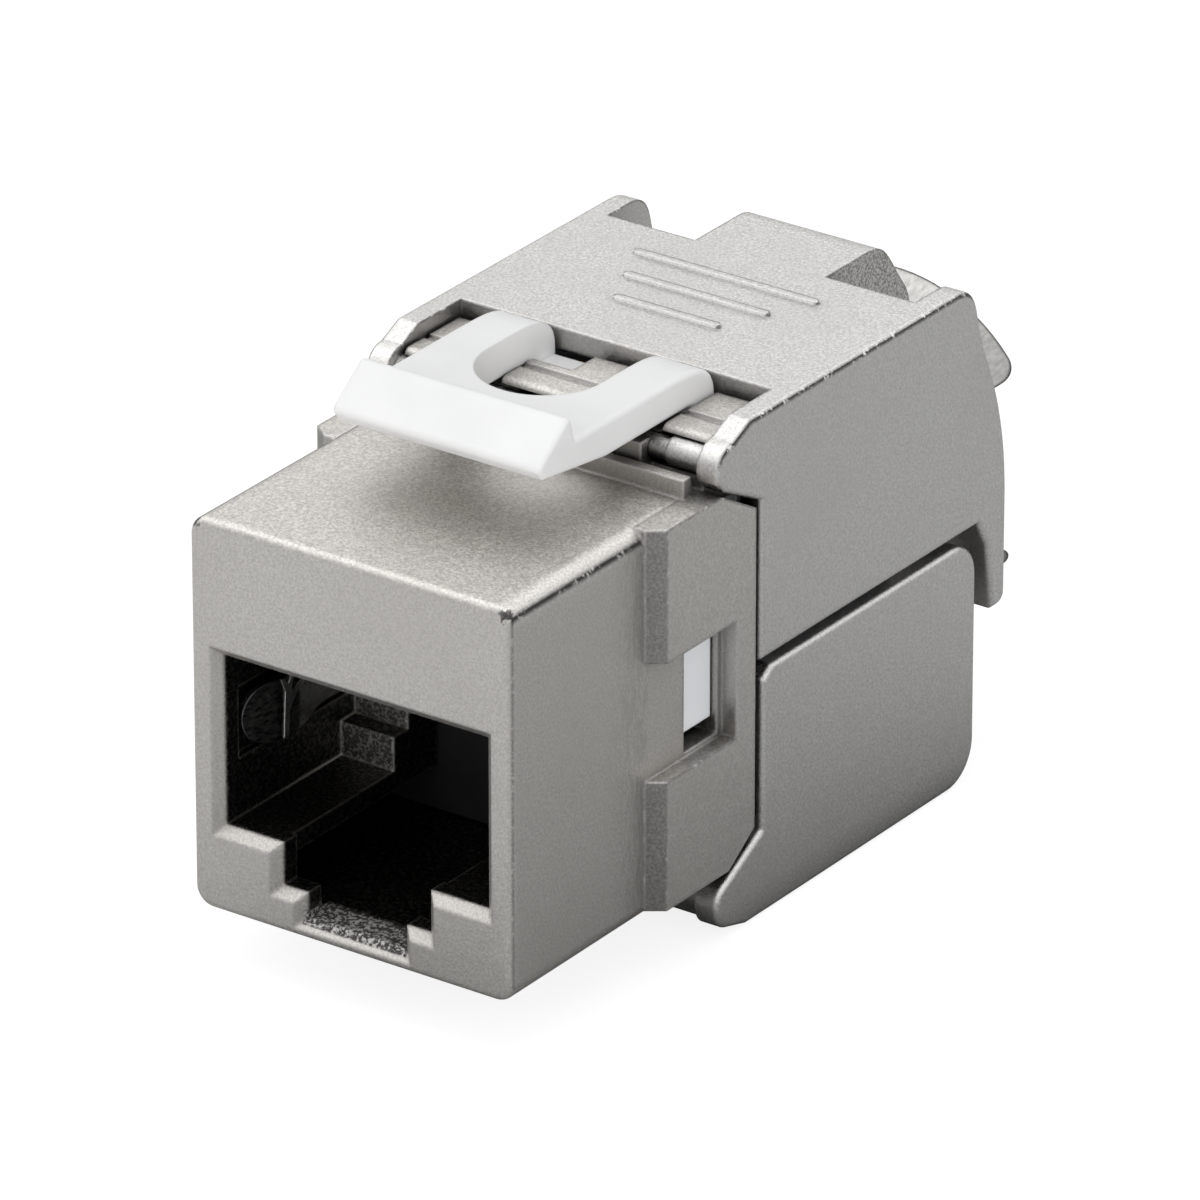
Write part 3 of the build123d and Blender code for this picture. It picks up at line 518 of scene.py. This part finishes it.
housing_metal = cast_housing("cast_housing", (0.79, 0.95), 0.6, 0.96, 0.03)
cover_metal = cast_cover("cast_cover", (0.48, 0.965), 0.10, 1.03, 0.014)
lower_metal = cast_cover("cast_lower_cover", (0.93, 0.96), 0.12, 1.04, 0.014)
steel = bright_steel("collar_steel")
white = moulded("white_latch", grey(0.88, 0.002), grey(0.93, 0.002), 0.42, 0.12)
pale = moulded("pale_plastic", (0.89, 0.91, 0.94, 1.0), (0.93, 0.945, 0.965, 1.0), 0.38, 0.1)
dark = moulded("dark_plastic", grey(0.012), grey(0.022), 0.45)
dark.node_tree.nodes["Principled BSDF"].inputs["Specular IOR Level"].default_value = 0.25
gold = plated("gold_plate", (0.78, 0.54, 0.20, 1.0), (0.95, 0.74, 0.34, 1.0), 0.22)
tin = plated("tin_plate", grey(0.6, 0.01), grey(0.78, 0.01), 0.32)
# A darker copy of the tin: painted shade on the shield springs inside the port
shaded_port_tin = plated("shaded_port_tin", grey(0.10, 0.01), grey(0.22, 0.01), 0.3)

NODE_MATERIALS = {
    "front_housing": housing_metal,
    "upper_cover": cover_metal,
    "lower_cover": lower_metal,
    "upper_collar": steel,
    "lower_collar": steel,
    "latch_clip": white,
    "idc_block": pale,
    "wire_manager": pale,
    "contact_carrier": dark,
    "circuit_board": board_mask("board_mask"),
    "shield_spring_right": shaded_port_tin,
    "shield_spring_left": shaded_port_tin,
}
for node_name, cad_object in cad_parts.items():
    if node_name.startswith("idc_fork_"):
        chosen = tin
    elif node_name.startswith("contact_") and node_name != "contact_carrier":
        chosen = gold
    else:
        chosen = NODE_MATERIALS[node_name]
    cad_object.data.materials.clear()
    cad_object.data.materials.append(chosen)


# Small pieces that the frame leaves to the looks

def finish_mesh(name, bm, material, body, bevel_mm):
    """Turn a bmesh into a piece with softened edges that rides on a body."""
    bmesh.ops.recalc_face_normals(bm, faces=bm.faces)
    mesh = bpy.data.meshes.new(name)
    bm.to_mesh(mesh)
    bm.free()
    piece = bpy.data.objects.new(name, mesh)
    bpy.context.scene.collection.objects.link(piece)
    mesh.materials.append(material)
    soften = piece.modifiers.new("soften", "BEVEL")
    soften.width = bevel_mm * MM
    soften.segments = 2
    soften.limit_method = "ANGLE"
    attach(piece, body)


def cap_and_join(bm, rings):
    """Join rings of points into a closed shell, with a face at each end."""
    rings = [[bm.verts.new(point) for point in ring] for ring in rings]
    for lower, upper in zip(rings, rings[1:]):
        count = len(lower)
        for i in range(count):
            j = (i + 1) % count
            bm.faces.new((lower[i], lower[j], upper[j], upper[i]))
    bm.faces.new(rings[-1])
    bm.faces.new(list(reversed(rings[0])))


# Side view of the bright piece over a shield spring's crown, a painted highlight: points in Y and Z
CROWN_HIGHLIGHT = [
    (3.12, 6.12), (3.42, 6.12), (3.50, 7.15), (3.95, 7.72), (4.75, 8.10),
    (4.75, 8.34), (4.05, 8.10), (3.62, 7.80), (3.66, 8.20), (3.86, 8.56),
    (3.62, 8.56), (3.40, 8.24), (3.18, 8.56), (2.98, 8.56), (3.22, 8.02),
]
CROWN_HIGHLIGHT_THICKNESS = 0.05
# Behind this depth the highlight piece follows the spring outwards
CROWN_HIGHLIGHT_BEND_Y = 4.2
CROWN_HIGHLIGHT_SLOPE = 0.12


def spring_crown_highlights():
    """Painted highlight: a thin bright tin piece over the crown of each shield spring, where it
    bends.
    """
    for side, label in ((1, "right"), (-1, "left")):
        bm = bmesh.new()
        cap_and_join(bm, [
            [spot(side * (SPRING_CROWN_X + max(0.0, y - CROWN_HIGHLIGHT_BEND_Y) * CROWN_HIGHLIGHT_SLOPE + out), y, z)
             for y, z in CROWN_HIGHLIGHT]
            for out in (0.0, CROWN_HIGHLIGHT_THICKNESS)])
        finish_mesh("spring_crown_highlight_" + label, bm, tin, "housing", 0.02)


PAIR_COLOURS = [
    ("orange", (0.80, 0.22, 0.02, 1.0)),
    ("green", (0.03, 0.33, 0.07, 1.0)),
    ("blue", (0.02, 0.10, 0.50, 1.0)),
    ("brown", (0.17, 0.06, 0.02, 1.0)),
]
MARK_Y = 20.75
MARK_RADIUS = 0.62
MARK_RISE = 0.05
# Shares of the radius and of the rise, from a mark's foot to its top
MARK_PROFILE = [(1.0, 0.0), (0.94, 0.7), (0.8, 1.0)]
MARK_SIDES = 28
CHANNEL_PITCH = 3.0


def wire_marks():
    """Printed colour dots beside the wire channels, seen when a cover is open."""
    turns = [math.tau * k / MARK_SIDES for k in range(MARK_SIDES)]
    for column, (label, colour) in enumerate(PAIR_COLOURS):
        ink = moulded("ink_" + label, colour, lighter(colour, 1.25), 0.45, 0.0, 0.15, 0.01)
        x = (column - (len(PAIR_COLOURS) - 1) / 2) * CHANNEL_PITCH
        for z, up, level in ((MANAGER_TOP_Z, 1, "upper"), (MANAGER_FOOT_Z, -1, "lower")):
            bm = bmesh.new()
            cap_and_join(bm, [
                [spot(x + MARK_RADIUS * share * math.cos(turn),
                      MARK_Y + MARK_RADIUS * share * math.sin(turn),
                      z + up * MARK_RISE * rise) for turn in turns]
                for share, rise in MARK_PROFILE])
            name = f"wire_mark_{level}_{column + 1}"
            finish_mesh(name, bm, ink, "housing", 0.005)


spring_crown_highlights()
wire_marks()


# Camera, from the fit to the photograph: place in metres, angles in degrees, lens and sensor in mm

SENSOR_WIDTH = 36.0
CAMERA_AT = (0.23763, -0.33853, 0.20737)
CAMERA_AZIMUTH = 35.22145
CAMERA_ELEVATION = 25.53989
CAMERA_LENS = 365.27


def make_camera():
    """Camera that stands where the photograph was taken from."""
    data = bpy.data.cameras.new("camera")
    camera = bpy.data.objects.new("camera", data)
    bpy.context.scene.collection.objects.link(camera)
    data.lens = CAMERA_LENS
    data.sensor_width = SENSOR_WIDTH
    data.clip_start = 0.01
    data.clip_end = 10.0
    azimuth = math.radians(CAMERA_AZIMUTH)
    elevation = math.radians(CAMERA_ELEVATION)
    ahead = Vector((-math.sin(azimuth) * math.cos(elevation),
                    math.cos(azimuth) * math.cos(elevation),
                    -math.sin(elevation)))
    right = Vector((math.cos(azimuth), math.sin(azimuth), 0.0))
    up = right.cross(ahead)
    turn = Matrix((right, up, -ahead)).transposed()
    camera.matrix_world = Matrix.Translation(Vector(CAMERA_AT)) @ turn.to_4x4()
    bpy.context.scene.camera = camera


# Floor, world and lamps, with places and sizes in metres

FLOOR_HALF = 3.0
FLOOR_LEVEL = -0.02 * MM
# As the metal sees it, the floor has a painted shadow this close to the jack
DIM_REACH = 45 * MM
# and a painted light that grows over this length, in this direction
PAINTED_LIGHT_LENGTH = 45 * MM
PAINTED_LIGHT_AHEAD = (-0.57, -0.82, 0.0)
JACK_MIDDLE = Vector((0.0, 0.0, 0.011))


def seen_directly(g, rays):
    """1 for rays from the camera, also through clear things."""
    return g.math("MAXIMUM", rays["Is Camera Ray"], rays["Is Transmission Ray"])


def make_floor():
    """Pale floor that shows white to the camera and keeps the soft shadow of the jack; the metal
    sees it with a painted shadow near the jack and painted light to the front left.
    """
    mesh = bpy.data.meshes.new("floor")
    corners = ((-1, -1), (1, -1), (1, 1), (-1, 1))
    mesh.from_pydata([(x * FLOOR_HALF, y * FLOOR_HALF, FLOOR_LEVEL) for x, y in corners],
                     [], [(0, 1, 2, 3)])
    floor = bpy.data.objects.new("floor", mesh)
    bpy.context.scene.collection.objects.link(floor)
    material = bpy.data.materials.new("floor")
    material.use_nodes = True
    g = Graph(material.node_tree)
    g.tree.nodes.clear()
    rays = g.node("LightPath").outputs

    # Seen only in the metal: painted shadow near the jack, and painted light to the front left
    under = g.node("AmbientOcclusion", samples=4)
    under.inputs["Distance"].default_value = DIM_REACH
    shade = g.ramp(under.outputs["AO"], 0.35, 1.0, 0.12, 0.62, smooth=False)
    ahead = g.node("VectorMath", operation="DOT_PRODUCT")
    ahead.inputs[1].default_value = PAINTED_LIGHT_AHEAD
    g.link(g.node("TexCoord").outputs["Object"], ahead.inputs[0])
    painted_light = g.ramp(ahead.outputs["Value"], 0.0, PAINTED_LIGHT_LENGTH, 0.95, 1.38)
    painted_floor = g.node("BsdfDiffuse")
    g.link(g.product(shade, painted_light), painted_floor.inputs["Color"])

    seen = g.node("BsdfDiffuse")
    seen.inputs["Color"].default_value = grey(0.30)
    glow = g.node("Emission")
    glow.inputs["Color"].default_value = grey(1.0)
    glow.inputs["Strength"].default_value = 0.84
    white_floor = g.join("AddShader", seen, glow)

    share = g.math("MULTIPLY_ADD", rays["Is Glossy Ray"], 0.02, seen_directly(g, rays))
    both = g.join("MixShader", painted_floor, white_floor, factor=share)
    g.link(both.outputs[0], g.node("OutputMaterial").inputs["Surface"])
    mesh.materials.append(material)


def make_world():
    """Studio: white to the camera, even light for diffuse rays, darker low down in the metal."""
    world = bpy.data.worlds.new("studio")
    bpy.context.scene.world = world
    world.use_nodes = True
    g = Graph(world.node_tree)
    g.tree.nodes.clear()
    rays = g.node("LightPath").outputs

    light = g.node("Background")
    light.inputs["Color"].default_value = (0.98, 0.99, 1.0, 1.0)
    light.inputs["Strength"].default_value = 0.5
    sky = g.node("Background")
    sky.inputs["Strength"].default_value = 1.0
    aim = g.node("SeparateXYZ")
    g.link(g.node("TexCoord").outputs["Generated"], aim.inputs[0])
    g.link(g.ramp(aim.outputs["Z"], 0.02, 0.34, 0.12, 1.0), sky.inputs["Color"])
    shine = g.join("MixShader", light, sky, factor=rays["Is Glossy Ray"])

    backdrop = g.node("Background")
    backdrop.inputs["Color"].default_value = grey(1.0)
    backdrop.inputs["Strength"].default_value = 1.0
    both = g.join("MixShader", shine, backdrop, factor=seen_directly(g, rays))
    g.link(both.outputs[0], g.node("OutputWorld").inputs["Surface"])


def soft_lamp(name, place, size, power, in_gloss):
    """Square soft box that points at the jack; a fill lamp isn't seen in the metal."""
    data = bpy.data.lights.new(name, "AREA")
    data.shape = "SQUARE"
    data.size = size
    data.energy = power
    lamp = bpy.data.objects.new(name, data)
    bpy.context.scene.collection.objects.link(lamp)
    lamp.location = place
    lamp.visible_glossy = in_gloss
    lamp.rotation_euler = (JACK_MIDDLE - Vector(place)).to_track_quat("-Z", "Y").to_euler()


make_camera()
make_floor()
make_world()
soft_lamp("left_box", (-0.75, -0.05, 0.45), 0.9, 1.4, True)
soft_lamp("top_box", (-0.10, 0.05, 0.9), 0.8, 1.4, True)
soft_lamp("front_box", (-0.05, -0.85, 0.25), 0.8, 2.6, False)
soft_lamp("right_box", (0.85, -0.35, 0.25), 0.8, 3.3, False)
soft_lamp("back_box", (0.08, 0.75, 0.68), 0.6, 0.55, True)
bpy.context.scene.view_settings.view_transform = "Standard"
